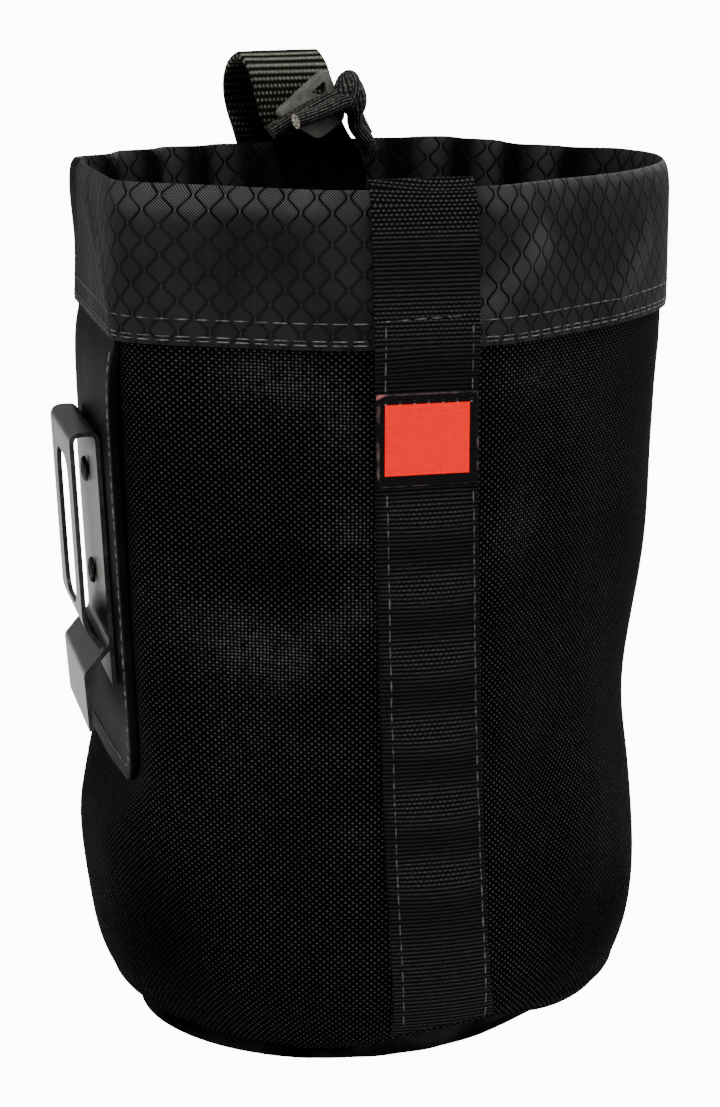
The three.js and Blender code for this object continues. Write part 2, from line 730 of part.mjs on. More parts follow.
// Rivets: low heads with a raised ring, shanks through the plate and the panel
const rivetProfile = [
  { radius: 0, out: -PANEL.thickness - GAP },
  { radius: RIVET.shank, out: -PANEL.thickness - GAP },
  { radius: RIVET.shank, out: CLIP.plate + GAP },
  { radius: RIVET.head, out: CLIP.plate + GAP },
  { radius: RIVET.head, out: CLIP.plate + GAP + RIVET.rise * 0.5 },
  { radius: RIVET.head * 0.78, out: CLIP.plate + GAP + RIVET.rise },
  { radius: RIVET.head * 0.52, out: CLIP.plate + GAP + RIVET.rise },
  { radius: RIVET.head * 0.42, out: CLIP.plate + GAP + RIVET.rise * 0.6 },
  { radius: 0, out: CLIP.plate + GAP + RIVET.rise * 0.6 },
];
function rivet(height) {
  const geometry = new THREE.LatheGeometry(rivetProfile.map((row) => new THREE.Vector2(row.radius, row.out)), 16);
  geometry.rotateZ(-Math.PI / 2);
  geometry.translate(0, height, 0);
  return geometry.applyMatrix4(clipPlace);
}
addPiece("clip_rivet_upper", rivet(RIVET.upper), 0x2a2927, 0.4, 0.8);
addPiece("clip_rivet_lower", rivet(RIVET.lower), 0x2a2927, 0.4, 0.8);

// Drawcord: the two ends leave the rim together and are tied in one knot
function cordEnd(route) {
  const curve = new THREE.CatmullRomCurve3(route.map((point) => new THREE.Vector3(point.x, point.y, point.z)));
  const round = new THREE.Shape();
  round.absarc(0, 0, CORD_RADIUS, 0, 2 * Math.PI, false);
  return new THREE.ExtrudeGeometry(round, { steps: 12, extrudePath: curve, curveSegments: 8, bevelEnabled: false });
}
const knotBall = new THREE.SphereGeometry(1, 14, 9);
knotBall.rotateX(Math.PI / 2);
knotBall.scale(KNOT.wide, KNOT.wide, KNOT.long);
knotBall.rotateY(radians(KNOT.tilt));
knotBall.translate(KNOT.x, KNOT.y, KNOT.z);
const cordSolid = toSolid(cordEnd(CORD_END_A)).add(toSolid(cordEnd(CORD_END_B))).add(toSolid(knotBall));
addPiece("drawcord", toGeometry(cordSolid), 0x131314, 0.75, 0);

// Cord lock: flat moulded tab with a three-cornered eye
const lockShape = roundedOutline(new THREE.Shape(), LOCK_OUTLINE, LOCK.corner);
lockShape.holes.push(roundedOutline(new THREE.Path(), LOCK_EYE, 1));
const lock = new THREE.ExtrudeGeometry(lockShape, { depth: LOCK.thickness, bevelEnabled: false, curveSegments: 4 });
lock.translate(0, 0, -LOCK.thickness / 2);
lock.rotateZ(radians(LOCK.tilt));
lock.rotateX(Math.PI / 2);
lock.rotateZ(radians(LOCK.turn));
lock.translate(LOCK.x, LOCK.y, LOCK.z);
addPiece("cord_lock", lock, 0x6d7072, 0.5, 0);

export default bag;
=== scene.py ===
import math

import bmesh
import bpy
from mathutils import Matrix, Vector, noise
from mathutils.bvhtree import BVHTree
from mathutils.geometry import interpolate_bezier


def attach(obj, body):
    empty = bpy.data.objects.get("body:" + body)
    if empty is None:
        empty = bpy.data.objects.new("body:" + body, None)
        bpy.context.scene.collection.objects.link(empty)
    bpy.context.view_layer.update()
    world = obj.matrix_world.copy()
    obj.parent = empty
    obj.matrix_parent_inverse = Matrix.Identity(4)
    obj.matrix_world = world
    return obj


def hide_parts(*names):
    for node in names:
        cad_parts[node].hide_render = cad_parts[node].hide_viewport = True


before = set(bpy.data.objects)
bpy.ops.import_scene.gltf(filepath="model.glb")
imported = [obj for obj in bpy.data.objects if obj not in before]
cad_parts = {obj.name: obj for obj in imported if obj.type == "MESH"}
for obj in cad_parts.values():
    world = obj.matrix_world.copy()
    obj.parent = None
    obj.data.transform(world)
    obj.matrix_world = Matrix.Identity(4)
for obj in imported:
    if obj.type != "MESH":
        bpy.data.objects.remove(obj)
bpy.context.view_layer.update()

# Camera: a long lens a little to the left of the strap, just above the rim.
# It looks slightly down on the bag, which fills the upright picture.
camera_body = bpy.data.cameras.new("camera")
camera_body.lens = 92.65
camera_body.sensor_width = 36
camera = bpy.data.objects.new("camera", camera_body)
camera.location = (-0.1559, -0.7336, 0.2857)
camera.rotation_euler = (math.radians(77.47), 0, math.radians(-12))
bpy.context.scene.collection.objects.link(camera)
bpy.context.scene.camera = camera

# Drawcord: round braided cord that runs in the hem of the cuff.
# Its two ends come out over the rim at the back and lie to the left, past a knot that ties them together.
CORD = {"thickness": 0.0044, "ribs": 16, "plait": 0.0015}
CORD_END_A = [
    (0.019, 0.0746, 0.2204),
    (0.0174, 0.0724, 0.224),
    (0.0136, 0.07, 0.2286),
    (0.0124, 0.0668, 0.2346),
    (0.0088, 0.063, 0.2356),
    (0.002, 0.0602, 0.2332),
    (-0.0062, 0.0572, 0.2308),
]
CORD_END_B = [
    (0.0182, 0.0783, 0.2255),
    (0.016, 0.076, 0.2288),
    (0.0134, 0.0716, 0.2332),
    (0.0112, 0.0674, 0.2378),
    (0.0066, 0.0658, 0.2372),
    (-0.003, 0.0644, 0.2326),
    (-0.0124, 0.0629, 0.2274),
]
KNOT = {"middle": (0.0114, 0.0662, 0.2374), "long": 0.0066, "wide": 0.0044, "tilt": -18}


class Value:
    """A number or colour in a finish, for plain arithmetic."""

    def __init__(self, finish, socket):
        self.finish = finish
        self.socket = socket

    def maths(self, operation, *others):
        return self.finish.node("Math", {"operation": operation}, dict(enumerate((self, *others))))

    def __add__(self, other):
        return self.maths("ADD", other)

    def __sub__(self, other):
        return self.maths("SUBTRACT", other)

    def __mul__(self, other):
        return self.maths("MULTIPLY", other)

    def __truediv__(self, other):
        return self.maths("DIVIDE", other)

    def __pow__(self, other):
        return self.maths("POWER", other)

    def swapped(self, operation, other):
        return self.finish.node("Math", {"operation": operation}, {0: other, 1: self})

    def __rsub__(self, other):
        return self.swapped("SUBTRACT", other)

    def __rtruediv__(self, other):
        return self.swapped("DIVIDE", other)

    def __rpow__(self, other):
        return self.swapped("POWER", other)

    __radd__ = __add__
    __rmul__ = __mul__

    def wave(self, length):
        """Rises and falls between 0 and 1, once in each length."""
        return (self * (2 * math.pi / length)).maths("COSINE").maths("MULTIPLY_ADD", 0.5, 0.5)

    def between(self, low, high):
        """Goes softly from 0 at low to 1 at high."""
        ends = {"Value": self, "From Min": low, "From Max": high}
        return self.finish.node("MapRange", {"interpolation_type": "SMOOTHSTEP"}, ends)


class Finish:
    """A material made from nodes."""

    def __init__(self, name):
        self.material = bpy.data.materials.new(name)
        self.material.use_nodes = True
        self.tree = self.material.node_tree
        self.shader = self.tree.nodes["Principled BSDF"]

    def feed(self, socket, value):
        if isinstance(value, Value):
            self.tree.links.new(value.socket, socket)
        else:
            socket.default_value = value

    def node(self, kind, settings, values, output=0):
        node = self.tree.nodes.new("ShaderNode" + kind)
        for name, value in settings.items():
            setattr(node, name, value)
        for name, value in values.items():
            self.feed(node.inputs[name], value)
        return Value(self, node.outputs[output])

    def cloth_place(self):
        """Distances across and along the cloth, in metres."""
        cloth = self.node("UVMap", {"uv_map": "cloth"}, {})
        return [self.node("SeparateXYZ", {}, {"Vector": cloth}, axis) for axis in (0, 1)]

    def sheen(self):
        """How much light the threads catch, painted on the piece."""
        return self.node("Attribute", {"attribute_name": "sheen"}, {}, "Fac")

    def speckle(self, scale, detail=2):
        """Uneven shading over the piece, about 0.5 on the whole."""
        place = self.node("TexCoord", {}, {}, 3)
        return self.node("TexNoise", {}, {"Vector": place, "Scale": scale, "Detail": detail})

    def mix(self, share, first, second):
        return self.node("Mix", {"data_type": "RGBA"}, {0: share, 6: first, 7: second}, 2)

    def relief(self, height, distance, strength=1.0):
        return self.node("Bump", {}, {"Height": height, "Distance": distance, "Strength": strength})

    def shade(self, values):
        for name, value in values.items():
            self.feed(self.shader.inputs[name], value)
        return self


def tone(red, green, blue):
    """Linear colour from display values up to 255."""
    return (*((part / 255) ** 2.2 for part in (red, green, blue)), 1)


def smooth_line(corners, steps):
    """Points on a smooth line through the corners."""
    points = [Vector(corner) for corner in corners]
    ends = [2 * points[0] - points[1], *points, 2 * points[-1] - points[-2]]
    line = []
    for before, start, stop, after in zip(ends, ends[1:], ends[2:], ends[3:]):
        leave = start + (stop - before) / 6
        reach = stop - (after - start) / 6
        line.extend(interpolate_bezier(start, leave, reach, stop, steps + 1)[:-1])
    return [*line, points[-1]]


def round_tube(line, thickness, sides):
    """Tube along a line, with its own cloth map: around, and along from the start."""
    mesh = bmesh.new()
    layer = mesh.loops.layers.uv.new("cloth")
    spot = {}
    rings = []
    side = Vector((0, 0, 1))
    gone = 0
    for index, point in enumerate(line):
        ahead = (line[min(index + 1, len(line) - 1)] - line[max(index - 1, 0)]).normalized()
        side = (side - ahead * side.dot(ahead)).normalized()
        turn = Matrix((side, ahead.cross(side), ahead)).transposed().to_4x4()
        turn.translation = point
        gone += (point - line[max(index - 1, 0)]).length
        ring = bmesh.ops.create_circle(mesh, segments=sides, radius=thickness / 2, matrix=turn)["verts"]
        for step, corner in enumerate(ring):
            spot[corner] = (step / sides, gone)
        rings.append(ring)
    for first, second in zip(rings, rings[1:]):
        edges = {edge for corner in (*first, *second) for edge in corner.link_edges}
        open_edges = [edge for edge in edges if edge.is_wire or edge.is_boundary]
        joined = {*first, *second}
        bmesh.ops.bridge_loops(mesh, edges=[edge for edge in open_edges if joined.issuperset(edge.verts)])
    for face in mesh.faces:
        turns = [spot[loop.vert][0] for loop in face.loops]
        for loop in face.loops:
            around, along = spot[loop.vert]
            if max(turns) - around > 0.5:
                around += 1
            loop[layer].uv = (around * math.pi * thickness, along)
    for ring in (rings[0], rings[-1]):
        cap = bmesh.ops.contextual_create(mesh, geom=ring)["faces"]
        for loop in cap[0].loops:
            loop[layer].uv = (0, spot[loop.vert][1] + 0.001)
    bmesh.ops.recalc_face_normals(mesh, faces=mesh.faces)
    return mesh


def place(mesh, name, finish, nodes, slot, corner=50):
    """Turns a mesh into a piece of the bag that stands in for solid ones."""
    data = bpy.data.meshes.new(name)
    mesh.to_mesh(data)
    mesh.free()
    data.shade_smooth()
    data.set_sharp_from_angle(angle=math.radians(corner))
    data.materials.append(finish.material)
    piece = bpy.data.objects.new(name, data)
    bpy.context.scene.collection.objects.link(piece)
    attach(piece, "root")
    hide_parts(*nodes)
    return piece


def braid(name, tip):
    """Braided cord: plaited ribs, and a pale core where it is cut at the tip."""
    finish = Finish(name)
    around, along = finish.cloth_place()
    turn = around / (math.pi * CORD["thickness"])
    rib = (turn * CORD["ribs"]).wave(1)
    plait = (along / CORD["plait"] + turn * 4).wave(1)
    height = rib * (plait * 0.5 + 0.5)
    cloth = finish.mix(height * finish.speckle(900).between(0.2, 0.7), tone(4, 4, 4), tone(98, 98, 94))
    cut = along.between(tip + 0.0002, tip + 0.0005)
    core = finish.mix(finish.speckle(1500).between(0.4, 0.62), tone(120, 112, 98), tone(236, 231, 220))
    return finish.shade({
        "Base Color": finish.mix(cut, cloth, core),
        "Roughness": 0.75,
        "Specular IOR Level": 0.08,
        "Normal": finish.relief(height, 0.0006),
    })


def length_of(line):
    return sum((after - before).length for before, after in zip(line, line[1:]))


cord_lines = [smooth_line(corners, 10) for corners in (CORD_END_A, CORD_END_B)]
cord_ends = []
for name, line, pale_from in zip(("drawcord_near_end", "drawcord_far_end"), cord_lines, (0, 1)):
    mesh = round_tube(line, CORD["thickness"], 20)
    cord_ends.append(place(mesh, name, braid(name, length_of(line) + pale_from), ["drawcord"], "cord"))

knot_turn = Matrix.Translation(KNOT["middle"]) @ Matrix.Rotation(math.radians(KNOT["tilt"]), 4, "Y")
knot_size = Matrix.Diagonal((KNOT["wide"], KNOT["wide"], KNOT["long"], 1))
knot_mesh = bmesh.new()
bmesh.ops.create_uvsphere(knot_mesh, u_segments=32, v_segments=20, radius=1)
knot_map = knot_mesh.loops.layers.uv.new("cloth")
for face in knot_mesh.faces:
    middle = face.calc_center_median()
    facing = math.atan2(middle.x, -middle.y)
    for loop in face.loops:
        spin = (math.atan2(loop.vert.co.x, -loop.vert.co.y) - facing + math.pi) % (2 * math.pi) - math.pi
        around = (facing + spin) * CORD["thickness"] / 2
        loop[knot_map].uv = (around, loop.vert.co.z * KNOT["long"])
bmesh.ops.transform(knot_mesh, matrix=knot_turn @ knot_size, verts=knot_mesh.verts)
drawcord_knot = place(knot_mesh, "drawcord_knot", braid("drawcord_knot", 1), ["drawcord"], "cord")

wrap_axis = Vector((-0.62, -0.42, 0.66)).normalized()
wrap_side = wrap_axis.cross(Vector((0, 0, 1))).normalized()
wrap_line = []
for step in range(33):
    angle = 2 * math.pi * step / 32
    spoke = wrap_side * math.cos(angle) + wrap_axis.cross(wrap_side) * math.sin(angle)
    wrap_line.append(knot_turn @ knot_size @ (wrap_axis * 0.3 + spoke * 0.82))
wrap_mesh = round_tube(wrap_line, CORD["thickness"] * 0.7, 16)
drawcord_wrap = place(wrap_mesh, "drawcord_wrap", braid("drawcord_wrap", 1), ["drawcord"], "cord")

# Cord lock: a flat moulded tab with rounded edges and a three-cornered eye that the cord passes.
# It is grey plastic, slightly rubbed, and sits on the two ends just left of the knot.


def edged_copy(node, width, rings, sharp):
    """Copy of a solid piece with its sharp edges rounded off."""
    mesh = bmesh.new()
    mesh.from_mesh(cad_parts[node].data)
    bmesh.ops.remove_doubles(mesh, verts=mesh.verts, dist=0.00002)
    flat = math.radians(1)
    bmesh.ops.dissolve_limit(mesh, angle_limit=flat, verts=mesh.verts, edges=mesh.edges)
    edges = [edge for edge in mesh.edges if edge.calc_face_angle(0) > math.radians(sharp)]
    bmesh.ops.bevel(
        mesh,
        geom=edges,
        offset=width,
        segments=rings,
        profile=0.5,
        affect="EDGES",
        material=-1,
        clamp_overlap=True,
    )
    bmesh.ops.recalc_face_normals(mesh, faces=mesh.faces)
    return mesh


lock_plastic = Finish("lock_plastic")
lock_rub = lock_plastic.speckle(300).between(0.3, 0.7)
lock_plastic.shade({
    "Base Color": lock_plastic.mix(lock_rub, tone(74, 74, 70), tone(98, 98, 93)),
    "Roughness": lock_plastic.speckle(700) * 0.3 + 0.4,
    "Specular IOR Level": 0.2,
    "Normal": lock_plastic.relief(lock_plastic.speckle(2500), 0.0001, 0.4),
})
lock_mesh = edged_copy("cord_lock", 0.0011, 4, 40)
lock_tab = place(lock_mesh, "lock_tab", lock_plastic, ["cord_lock"], "lock_plastic", 40)
lock_tab.modifiers.new("flat_faces", "WEIGHTED_NORMAL").keep_sharp = True

for end, line, pieces in zip(cord_ends, cord_lines, ([drawcord_knot, drawcord_wrap, lock_tab], [])):
    length_of(line)

# Base: a shallow pan of thick black coated cloth whose edge stands up inside the wall.
# It is the darkest cloth on the bag and scuffed a little where it meets the ground.


def cloth_copy(node, rounds):
    """Copy of a solid piece with its facets smoothed into cloth and its cut edges kept."""
    mesh = bmesh.new()
    mesh.from_mesh(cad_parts[node].data)
    bmesh.ops.remove_doubles(mesh, verts=mesh.verts, dist=0.00002)
    bmesh.ops.join_triangles(mesh, faces=mesh.faces, angle_face_threshold=0.7, angle_shape_threshold=3.1)
    crease = mesh.edges.layers.float.new("crease_edge")
    for edge in mesh.edges:
        if edge.calc_face_angle(0) > 0.9:
            edge[crease] = 0.7
    data = bpy.data.meshes.new(node + "_coarse")
    mesh.to_mesh(data)
    coarse = bpy.data.objects.new(node + "_coarse", data)
    bpy.context.scene.collection.objects.link(coarse)
    smoothing = coarse.modifiers.new("smoothing", "SUBSURF")
    smoothing.levels = rounds
    smoothing.render_levels = rounds
    fine = bpy.data.meshes.new_from_object(coarse.evaluated_get(bpy.context.evaluated_depsgraph_get()))
    bpy.data.objects.remove(coarse)
    mesh.clear()
    mesh.from_mesh(fine)
    bmesh.ops.recalc_face_normals(mesh, faces=mesh.faces)
    return mesh


base_mesh = cloth_copy("base_panel", 2)
base_cloth = Finish("base_cloth")
base_scuff = base_cloth.speckle(60, 5).between(0.4, 0.7)
base_grain = base_cloth.speckle(1400)
base_cloth.shade({
    "Base Color": base_cloth.mix(base_scuff * base_grain, tone(1, 1, 1), tone(46, 46, 46)),
    "Roughness": 0.75,
    "Specular IOR Level": 0.02,
    "Normal": base_cloth.relief(base_grain, 0.0002, 0.5),
})
place(base_mesh, "base_cloth", base_cloth, ["base_panel"], "base_cloth")

# Wall: one tube of coarse black ballistic cloth in a basket weave, closed under the strap.
# It is slack, with soft dents, and its lower edge is folded under and sewn to the base.
WALL_RADIUS = 0.0765
BASKET = {"across": 0.00184, "up": 0.0016}
SIDE_SWELL = {"y": 0.034, "height": 0.072, "wide": 0.02, "high": 0.012, "rise": 0.0022}
# Painted light on the wall's threads: painted highlights where the gain is positive, painted shade in the
# dent, the bottom corners and down the right side where it is negative. Each patch is at an angle and a
# height in mm, with its size in mm.
WALL_LIGHTS = [
    {"at": (-40, 117), "wide": 9, "high": 6, "gain": 0.25},
    {"at": (-33, 112), "wide": 9, "high": 6, "gain": 0.5},
    {"at": (-25, 109), "wide": 10, "high": 7, "gain": 0.9},
    {"at": (-17, 117), "wide": 7, "high": 6, "gain": 0.4},
    {"at": (-12, 124), "wide": 6, "high": 5, "gain": 0.5},
    {"at": (-26, 130), "wide": 15, "high": 8, "gain": -0.4},
    {"at": (-31, 181), "wide": 7, "high": 5, "gain": 0.7},
    {"at": (-23, 179), "wide": 7, "high": 6, "gain": 0.9},
    {"at": (-15, 170), "wide": 5, "high": 8, "gain": 0.7},
    {"at": (-15, 142), "wide": 8, "high": 4, "gain": 0.4},
    {"at": (20, 139), "wide": 10, "high": 8, "gain": 0.25},
    {"at": (24, 113), "wide": 8, "high": 5, "gain": 0.3},
    {"at": (22, 178), "wide": 16, "high": 6, "gain": 0.5},
    {"at": (-15, 84), "wide": 10, "high": 7, "gain": 0.3},
    {"at": (-12, 65), "wide": 8, "high": 6, "gain": 0.4},
    {"at": (-58, 28), "wide": 28, "high": 26, "gain": -0.8},
    {"at": (50, 25), "wide": 30, "high": 22, "gain": -0.85},
    {"at": (73, 110), "wide": 18, "high": 130, "gain": -0.6},
]
WALL_EDGE = [
    (-180, 3.8),
    (-110, 4),
    (-76, 4.6),
    (-58, 3.6),
    (-40, 3),
    (-20, 3.2),
    (-12, 5),
    (-5, 8.4),
    (8, 11),
    (19, 12),
    (27, 10),
    (37, 8.4),
    (52, 7.4),
    (80, 6.4),
    (115, 4),
    (150, 3.6),
    (180, 3.8),
]


def angle_of(point):
    """Angle round the bag from the strap towards the right, in degrees."""
    return math.degrees(math.atan2(point.x, -point.y))


def lay_round(mesh, radius):
    """Cloth map of a piece that goes round the bag: distance round it, and height."""
    layer = mesh.loops.layers.uv.new("cloth")
    for face in mesh.faces:
        middle = angle_of(face.calc_center_median())
        for loop in face.loops:
            off = (angle_of(loop.vert.co) - middle + 180) % 360 - 180
            loop[layer].uv = (math.radians(middle + off) * radius, loop.vert.co.z)


def along_table(table, place):
    """Value of a short table at a place between its rows."""
    for (start, first), (stop, second) in zip(table, table[1:]):
        if place <= stop:
            share = max(0, (place - start) / (stop - start))
            return first + (second - first) * share
    return table[-1][1]


def bell(distance, width):
    return math.exp(-((distance / width) ** 2))


def ramp(value, low, high):
    share = min(1, max(0, (value - low) / (high - low)))
    return share * share * (3 - 2 * share)


def swell(mesh, rise):
    """Moves cloth out from the bag's axis by a rise that depends on angle and height."""
    for corner in mesh.verts:
        out = Vector((corner.co.x, corner.co.y, 0)).normalized()
        corner.co += out * rise(angle_of(corner.co), corner.co)


def paint_sheen(mesh, rule):
    """Stores how much light each place of the cloth catches, by angle and place."""
    layer = mesh.verts.layers.float.new("sheen")
    for corner in mesh.verts:
        corner[layer] = max(0, rule(angle_of(corner.co), corner.co))


# Painted light and shade on the wall: an even level with the listed patches added.
def wall_sheen(angle, point):
    light = 0.95
    for patch in WALL_LIGHTS:
        side = (angle - patch["at"][0]) * 1.335 / patch["wide"]
        rise = (point.z * 1000 - patch["at"][1]) / patch["high"]
        light += patch["gain"] * bell(math.hypot(side, rise), 1)
    return light


def wall_rise(angle, point):
    edge = along_table(WALL_EDGE, angle) / 1000
    hem = 0.0006 * bell(point.z - edge - 0.003, 0.0014)
    slack = noise.noise(Vector((point.x * 34, point.y * 34, point.z * 24))) * 0.0012
    slack = min(slack - 0.0003, 0) * ramp(point.z, 0.022, 0.04) * (1 - ramp(point.z, 0.165, 0.18))
    return hem + slack * ramp(abs(angle), 13, 24)


def side_swell(point):
    """The flat side is blown out a little below the clip, towards the back."""
    if point.x > 0:
        return 0
    side = (point.y - SIDE_SWELL["y"]) / SIDE_SWELL["wide"]
    rise = (point.z - SIDE_SWELL["height"]) / SIDE_SWELL["high"]
    return SIDE_SWELL["rise"] * bell(math.hypot(side, rise), 1)


def basket_weave(name, dark, light, uneven_sheen):
    """Coarse black cloth with staggered raised threads."""
    finish = Finish(name)
    across, up = finish.cloth_place()
    wander = finish.speckle(160)
    warp = (across / BASKET["across"] + wander * 0.3) * (2 * math.pi)
    weft = (up / BASKET["up"] + wander * 0.3) * (2 * math.pi)
    knuckle = warp.maths("COSINE") * weft.maths("COSINE")
    # The threads are brightened by the painted light and shade of the sheen, which this amount makes uneven
    # at random.
    lit = finish.sheen() * (finish.speckle(30, 4).between(0.3, 0.75) * uneven_sheen + (1 - uneven_sheen * 0.5))
    patchy = finish.speckle(600, 3).between(0.2, 0.75)
    over = knuckle.between(0.15, 0.9) * (patchy * 0.6 + 0.4)
    under = (knuckle * -1).between(0.25, 0.95) * patchy * lit.between(0.8, 1.8) * 0.7
    thread = over + under
    finish.shade({
        "Base Color": finish.mix(thread * lit * 0.52, dark, light),
        "Roughness": 0.75,
        "Specular IOR Level": 0.01,
        "Normal": finish.relief(knuckle.maths("ABSOLUTE"), 0.0004),
    })
    return finish


wall_mesh = cloth_copy("body_wall", 2)
lay_round(wall_mesh, WALL_RADIUS)
paint_sheen(wall_mesh, wall_sheen)
swell(wall_mesh, wall_rise)
for corner in wall_mesh.verts:
    corner.co.x -= side_swell(corner.co)
wall_cloth = basket_weave("wall_cloth", tone(0, 0, 0), tone(86, 86, 86), 0.4)
place(wall_mesh, "wall_cloth", wall_cloth, ["body_wall"], "wall_cloth")

# Side panel: a stiff patch of smooth satin leather on the flat side, thinned where it goes under the cuff.
# It backs the clip, its edge is turned and sewn down with one row of stitches.
PANEL = {
    "bottom": 0.069,
    "top": 0.194,
    "near_foot": -0.041,
    "near_top": -0.046,
    "far": 0.048,
    "corner": 0.011,
}


def panel_near(z):
    """Place of the panel's near edge, which leans a little, at a height."""
    lean = (z - PANEL["bottom"]) / (PANEL["top"] - PANEL["bottom"])
    return PANEL["near_foot"] + (PANEL["near_top"] - PANEL["near_foot"]) * lean


def panel_inset(y, z):
    """Distance of a place on the panel from its nearest edge."""
    across = min(y - panel_near(z), PANEL["far"] - y)
    up = z - PANEL["bottom"]
    round_off = PANEL["corner"]
    if across < round_off and up < round_off:
        return round_off - math.hypot(round_off - across, round_off - up)
    return min(across, up)


panel_mesh = cloth_copy("side_panel", 2)
for corner in panel_mesh.verts:
    inset = panel_inset(corner.co.y, corner.co.z)
    bead = 0.0003 * bell(inset - 0.0012, 0.001)
    corner.co.x -= bead * (1 - ramp(corner.co.z, 0.176, 0.182)) + side_swell(corner.co)
panel_leather = Finish("panel_leather")
panel_grain = panel_leather.speckle(1800, 3)
panel_cloud = panel_leather.speckle(40, 3)
panel_leather.shade({
    "Base Color": panel_leather.mix(panel_cloud.between(0.3, 0.7), tone(10, 10, 10), tone(20, 20, 19)),
    "Roughness": panel_cloud * 0.2 + 0.45,
    "Specular IOR Level": 0.015,
    "Normal": panel_leather.relief(panel_grain, 0.00015, 0.5),
})
panel_piece = place(panel_mesh, "panel_leather", panel_leather, ["side_panel"], "panel_leather")

# Belt clip: one strip of spring steel bent over at the top, with a slot in its outer plate and a flared lip.
# It has a satin grey-brown coat, and its cut edges are darker.
clip_steel = Finish("clip_steel")
clip_cloud = clip_steel.speckle(50, 4)
clip_steel.shade({
    "Base Color": clip_steel.mix(clip_cloud.between(0.3, 0.7), tone(69, 67, 62), tone(91, 88, 82)),
    "Metallic": 0.9,
    "Roughness": clip_cloud * 0.15 + 0.3,
    "Normal": clip_steel.relief(clip_steel.speckle(3000), 0.00005, 0.4),
})
clip_mesh = edged_copy("belt_clip", 0.00025, 2, 55)
clip_edge = Finish("clip_edge")
clip_edge_rub = clip_edge.speckle(400).between(0.35, 0.7)
clip_edge.shade({
    "Base Color": clip_edge.mix(clip_edge_rub, tone(20, 19, 18), tone(52, 50, 46)),
    "Metallic": 0.6,
    "Roughness": 0.5,
})
for face in clip_mesh.faces:
    face.material_index = 1 if abs(face.normal.y) > 0.6 else 0
clip_plate = place(clip_mesh, "clip_plate", clip_steel, ["belt_clip"], "clip_steel", 35)
clip_plate.data.materials.append(clip_edge.material)
clip_plate.modifiers.new("flat_faces", "WEIGHTED_NORMAL").keep_sharp = True

# Rivets: two dark steel rivets with a raised ring that hold the clip to the panel.
# Their heads sit on the clip's back plate, inside the slot.
rivet_steel = Finish("rivet_steel")
rivet_rub = rivet_steel.speckle(500, 3).between(0.35, 0.7)
rivet_steel.shade({
    "Base Color": rivet_steel.mix(rivet_rub, tone(26, 25, 23), tone(50, 48, 45)),
    "Metallic": 0.8,
    "Roughness": rivet_steel.speckle(900) * 0.2 + 0.35,
})
for side in ("upper", "lower"):
    mesh = edged_copy(f"clip_rivet_{side}", 0.00025, 2, 25)
    place(mesh, f"rivet_{side}", rivet_steel, [f"clip_rivet_{side}"], "rivet_steel", 35)

# Cuff: light ripstop folded over the rim to the inside, with the drawcord in its hem.
# The cloth has a woven net of curved lines, a faint sheen and soft slanting folds.
RIPSTOP = {"across": 0.0073, "up": 0.00726, "swing": 0.00138, "line": 0.00013, "thread": 0.00068}
RIPSTOP_START = {"aside": -0.00255, "height": 0.0008}
CUFF_RADIUS = 0.0785
# Slanting folds: the gain is a painted highlight along each fold, or painted shade where it is negative.
CUFF_FOLDS = [
    {"from": (11, 197), "to": (24, 210), "width": 4.2, "rise": 0.8, "gain": 1.8},
    {"from": (64, 207), "to": (51, 193), "width": 4.5, "rise": 1, "gain": 1.0},
    {"from": (-87, 218), "to": (-60, 195), "width": 3.5, "rise": 1, "gain": 0.9},
    {"from": (-44, 217), "to": (-34, 200), "width": 6, "rise": 0.6, "gain": -0.15},
    {"from": (-14, 213), "to": (-25, 197), "width": 5, "rise": 0.5, "gain": 0.1},
]


def on_fold(fold, angle, point):
    """Share of a slanting fold at a place, 1 along the line from one angle and height to another."""
    start = Vector((fold["from"][0] * 1.37, fold["from"][1]))
    way = Vector((fold["to"][0] * 1.37, fold["to"][1])) - start
    spot = Vector((angle * 1.37, point.z * 1000)) - start
    share = min(1, max(0, spot.dot(way) / way.length_squared))
    return bell((spot - way * share).length, fold["width"])


def gather(angle, point):
    """Upright gathers round the back of the rim, left out under the hang loop."""
    beside = abs(abs(angle) - 180)
    share = ramp(beside, 8, 13) * (1 - ramp(beside, 62, 80)) * ramp(point.z, 0.198, 0.216)
    return share * math.sin(math.radians(angle * 24 + 40 * math.sin(math.radians(angle * 5))))


def cuff_rise(angle, point):
    folds = sum(fold["rise"] * on_fold(fold, angle, point) for fold in CUFF_FOLDS)
    pucker = 0.35 * math.sin(math.radians(angle * 41)) * noise.noise(Vector((angle / 9, 0, 0)))
    pucker *= ramp(point.z, 0.212, 0.221) * ramp(abs(angle), 10, 14)
    return (folds + pucker + gather(angle, point) * 1.5) / 1000


# Painted light and shade on the cuff: painted highlights along the folds, on the left face and along the
# front of the rim; painted shade in the front-left middle, over the back half and by the hang loop; painted
# light and shade along the gathers.
def cuff_sheen(angle, point):
    light = 0.95 + sum(fold["gain"] * on_fold(fold, angle, point) for fold in CUFF_FOLDS)
    light += 1.3 * bell(angle + 84, 22) + 0.25 * bell(angle - 34, 18)
    light -= 0.25 * bell(math.hypot((angle + 34) / 15, (point.z - 0.204) / 0.009), 1)
    rim = ramp(point.z, 0.2155, 0.2215) * (1 - ramp(abs(angle), 95, 115))
    rim *= 1 + 1.4 * bell(angle + 38, 17) + 0.7 * bell(angle - 14, 5) - 0.6 * ramp(angle, 16, 28)
    shade = 0.25 * ramp(abs(angle), 95, 115) + 0.45 * bell(abs(angle) - 180, 16)
    return light - shade + rim * (1.0 + 0.6 * noise.noise(Vector((angle / 6, 3, 0)))) + gather(angle, point)


